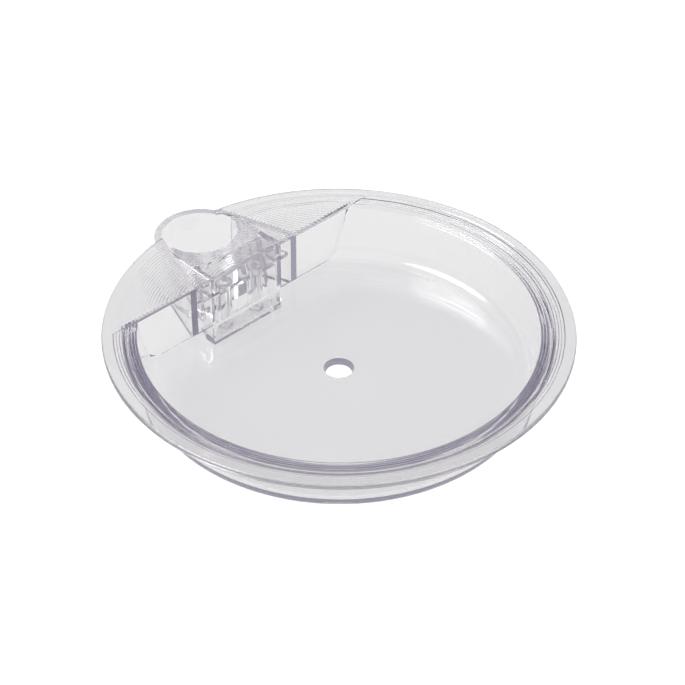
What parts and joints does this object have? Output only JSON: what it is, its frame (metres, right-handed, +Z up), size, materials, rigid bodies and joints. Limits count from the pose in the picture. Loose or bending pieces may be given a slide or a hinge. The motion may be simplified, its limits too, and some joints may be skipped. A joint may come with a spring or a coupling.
{
  "type": "rail soap dish",
  "caption": "Round clear-plastic soap dish with a drain hole, a flat deck and a clamped socket that slides on a vertical shower rail.",
  "frame": {"origin": "on the rail's axis, level with the underside of the dish", "axes": "+Z up along the rail, +Y from the basin towards the rail, +X to the right seen from the basin's side"},
  "size_m": [0.15, 0.1586, 0.028],
  "materials": {
    "clear_dish": "clear polished",
    "clear_clamp": "clear polished"
  },
  "bodies": {
    "dish_body": {"dish": "clear_dish"},
    "key_body": {"clamp_key": "clear_clamp", "post_left": "clear_clamp", "post_right": "clear_clamp"},
    "jaw_body": {"grip_jaw": "clear_clamp"}
  },
  "joints": [
    {"name": "key_slide", "type": "slide", "parent": "dish_body", "child": "key_body", "axis": [0, 0, 1], "range_m": [0, 0.0045]},
    {"name": "jaw_slide", "type": "slide", "parent": "dish_body", "child": "jaw_body", "axis": [0, -1, 0], "range_m": [0, 0.00072]}
  ],
  "couplings": [
    {"joint": "jaw_slide", "follows": "key_slide", "ratio": 0.16}
  ]
}
